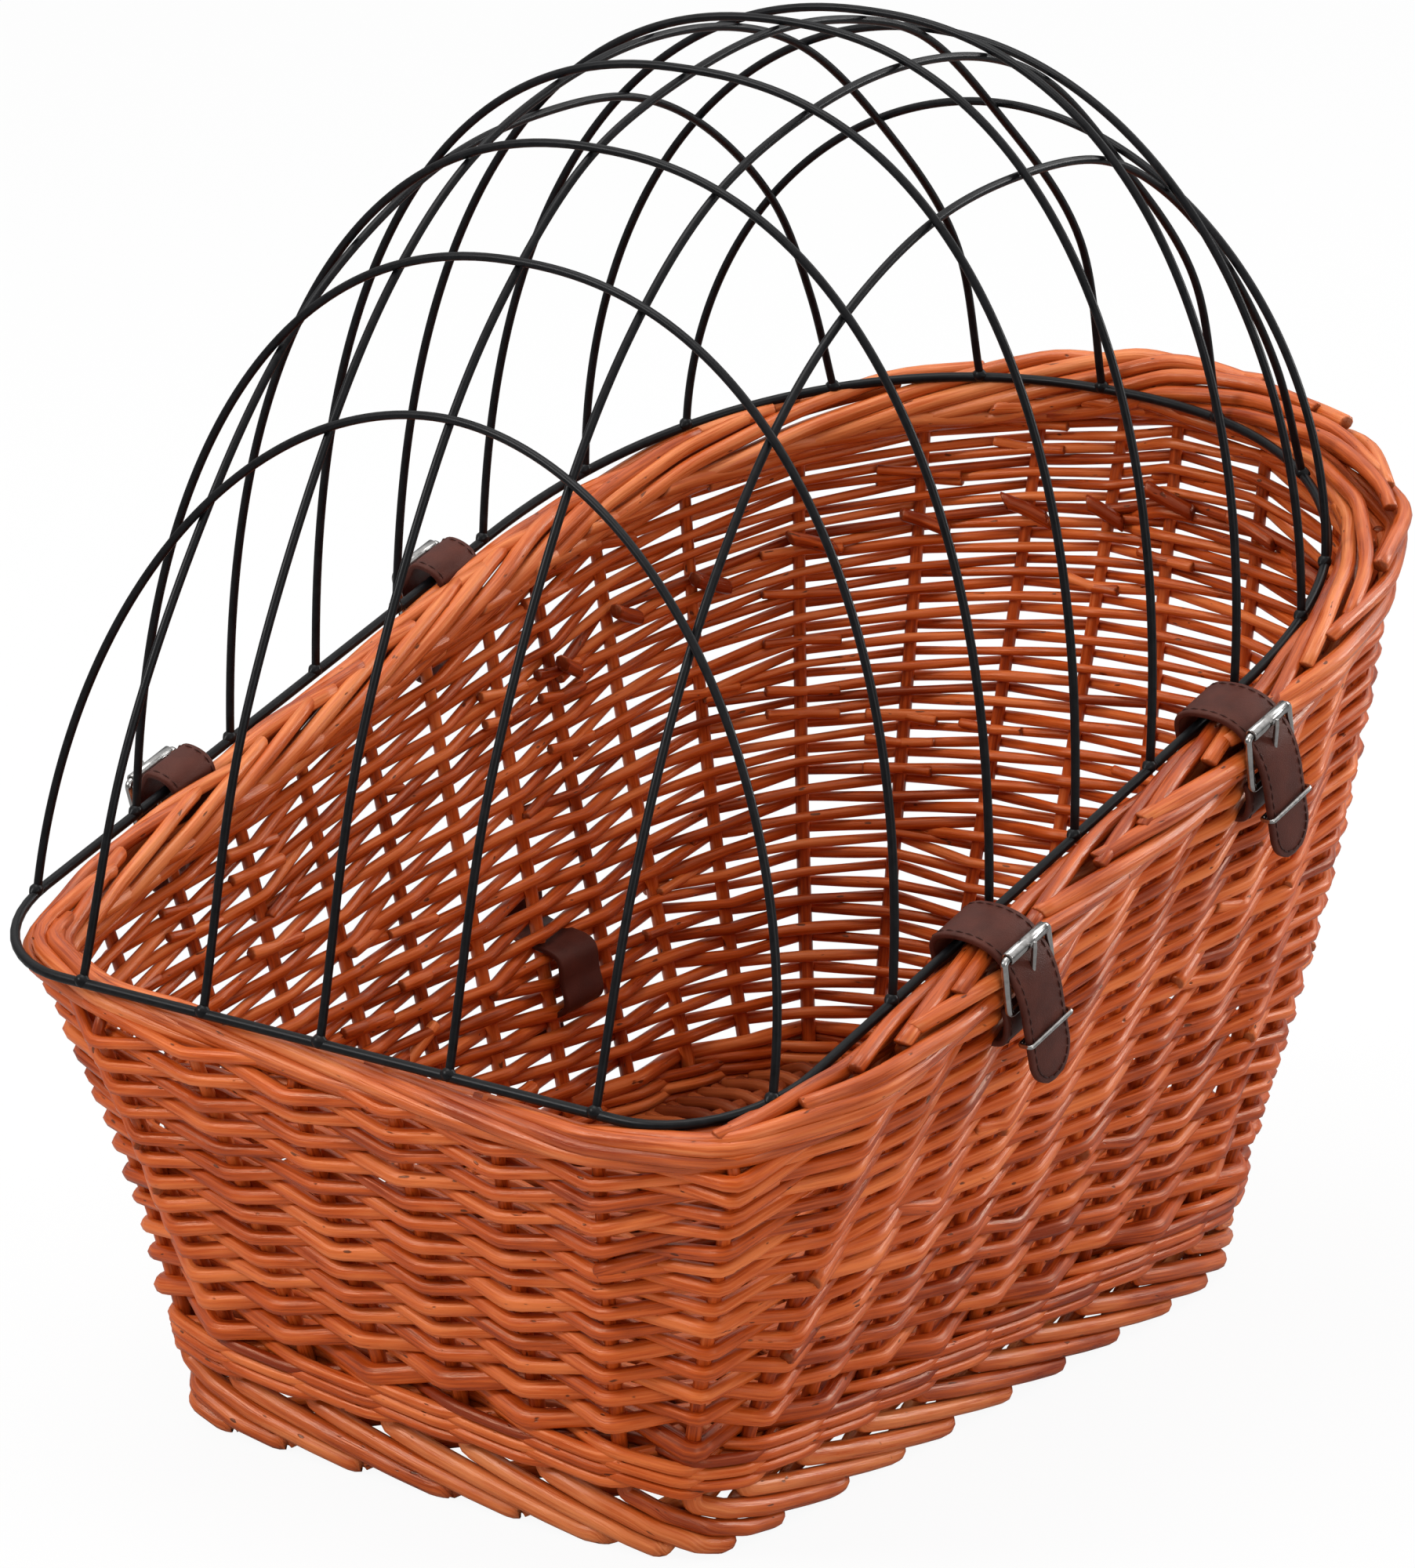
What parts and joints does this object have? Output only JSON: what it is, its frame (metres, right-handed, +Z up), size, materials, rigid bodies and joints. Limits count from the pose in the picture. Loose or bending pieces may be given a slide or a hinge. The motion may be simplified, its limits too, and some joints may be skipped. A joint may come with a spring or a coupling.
{
  "type": "rear bicycle basket",
  "caption": "Rear bicycle basket of woven willow with a sloping round back and a domed black wire lid, held by buckled leather straps.",
  "frame": {"origin": "middle of the bounding box on the floor", "axes": "+X to the right of a rider, where the visible buckles are; +Y from the low straight front to the tall round back; +Z up"},
  "size_m": [0.4192, 0.5576, 0.5365],
  "materials": {
    "willow": "stained and lacquered willow rods, satin",
    "willow_pale": "stained and lacquered willow rods, a little paler, satin",
    "black_wire": "black coated steel wire, satin",
    "leather": "dark red-brown strap leather, stitched, worn satin",
    "nickel": "nickel plated wire, polished"
  },
  "bodies": {
    "basket": {"base_panel": "willow", "foot_border": "willow_pale", "upsett_waling": "willow", "siding_front": "willow", "siding_left": "willow", "siding_right": "willow", "siding_back": "willow", "rim_border": "willow_pale", "tether_strap": "leather", "strap_left_front": "leather", "strap_left_rear": "leather", "strap_right_front_chape": "leather", "strap_right_rear_chape": "leather", "buckle_left_front": "nickel", "buckle_left_rear": "nickel"},
    "dome": {"rim_wire": "black_wire", "cross_arch_1": "black_wire", "cross_arch_2": "black_wire", "cross_arch_3": "black_wire", "cross_arch_4": "black_wire", "cross_arch_5": "black_wire", "cross_arch_6": "black_wire", "cross_arch_7": "black_wire", "cross_arch_8": "black_wire", "long_arch_1": "black_wire", "long_arch_2": "black_wire", "long_arch_3": "black_wire", "long_arch_4": "black_wire", "long_arch_5": "black_wire", "strap_right_front_billet": "leather", "strap_right_rear_billet": "leather", "buckle_right_front": "nickel", "buckle_right_rear": "nickel"},
    "roller_left_front": {"roller_left_front": "nickel"},
    "prong_left_front": {"prong_left_front": "nickel"},
    "keeper_left_front": {"keeper_left_front": "nickel"},
    "roller_left_rear": {"roller_left_rear": "nickel"},
    "prong_left_rear": {"prong_left_rear": "nickel"},
    "keeper_left_rear": {"keeper_left_rear": "nickel"},
    "roller_right_front": {"roller_right_front": "nickel"},
    "prong_right_front": {"prong_right_front": "nickel"},
    "keeper_right_front": {"keeper_right_front": "nickel"},
    "roller_right_rear": {"roller_right_rear": "nickel"},
    "prong_right_rear": {"prong_right_rear": "nickel"},
    "keeper_right_rear": {"keeper_right_rear": "nickel"}
  },
  "joints": [
    {"name": "dome_hinge", "type": "hinge", "parent": "basket", "child": "dome", "pos_m": [-0.18825, -0.08233, 0.24828], "axis": [0, -0.9652, -0.2614], "range_deg": [0, 95]},
    {"name": "roller_left_front_turn", "type": "hinge", "parent": "basket", "child": "roller_left_front", "pos_m": [-0.20275, -0.13419, 0.23736], "axis": [0, 0.9652, 0.2614], "continuous": true},
    {"name": "prong_left_front_lift", "type": "hinge", "parent": "basket", "child": "prong_left_front", "pos_m": [-0.20155, -0.12818, 0.21519], "axis": [0, -0.9652, -0.2614], "range_deg": [0, 5]},
    {"name": "keeper_left_front_slide", "type": "slide", "parent": "basket", "child": "keeper_left_front", "axis": [0, 0.2614, -0.9652], "range_m": [-0.004, 0.006]},
    {"name": "roller_left_rear_turn", "type": "hinge", "parent": "basket", "child": "roller_left_rear", "pos_m": [-0.20275, 0.03481, 0.28312], "axis": [0, 0.9652, 0.2614], "continuous": true},
    {"name": "prong_left_rear_lift", "type": "hinge", "parent": "basket", "child": "prong_left_rear", "pos_m": [-0.20155, 0.04082, 0.26095], "axis": [0, -0.9652, -0.2614], "range_deg": [0, 5]},
    {"name": "keeper_left_rear_slide", "type": "slide", "parent": "basket", "child": "keeper_left_rear", "axis": [0, 0.2614, -0.9652], "range_m": [-0.004, 0.006]},
    {"name": "roller_right_front_turn", "type": "hinge", "parent": "dome", "child": "roller_right_front", "pos_m": [0.20275, -0.11869, 0.24156], "axis": [0, 0.9652, 0.2614], "continuous": true},
    {"name": "prong_right_front_lift", "type": "hinge", "parent": "dome", "child": "prong_right_front", "pos_m": [0.20155, -0.11268, 0.21939], "axis": [0, 0.9652, 0.2614], "range_deg": [0, 5]},
    {"name": "keeper_right_front_slide", "type": "slide", "parent": "dome", "child": "keeper_right_front", "axis": [0, 0.2614, -0.9652], "range_m": [-0.004, 0.006]},
    {"name": "roller_right_rear_turn", "type": "hinge", "parent": "dome", "child": "roller_right_rear", "pos_m": [0.20275, 0.04481, 0.28583], "axis": [0, 0.9652, 0.2614], "continuous": true},
    {"name": "prong_right_rear_lift", "type": "hinge", "parent": "dome", "child": "prong_right_rear", "pos_m": [0.20155, 0.05082, 0.26366], "axis": [0, 0.9652, 0.2614], "range_deg": [0, 5]},
    {"name": "keeper_right_rear_slide", "type": "slide", "parent": "dome", "child": "keeper_right_rear", "axis": [0, 0.2614, -0.9652], "range_m": [-0.004, 0.006]}
  ]
}
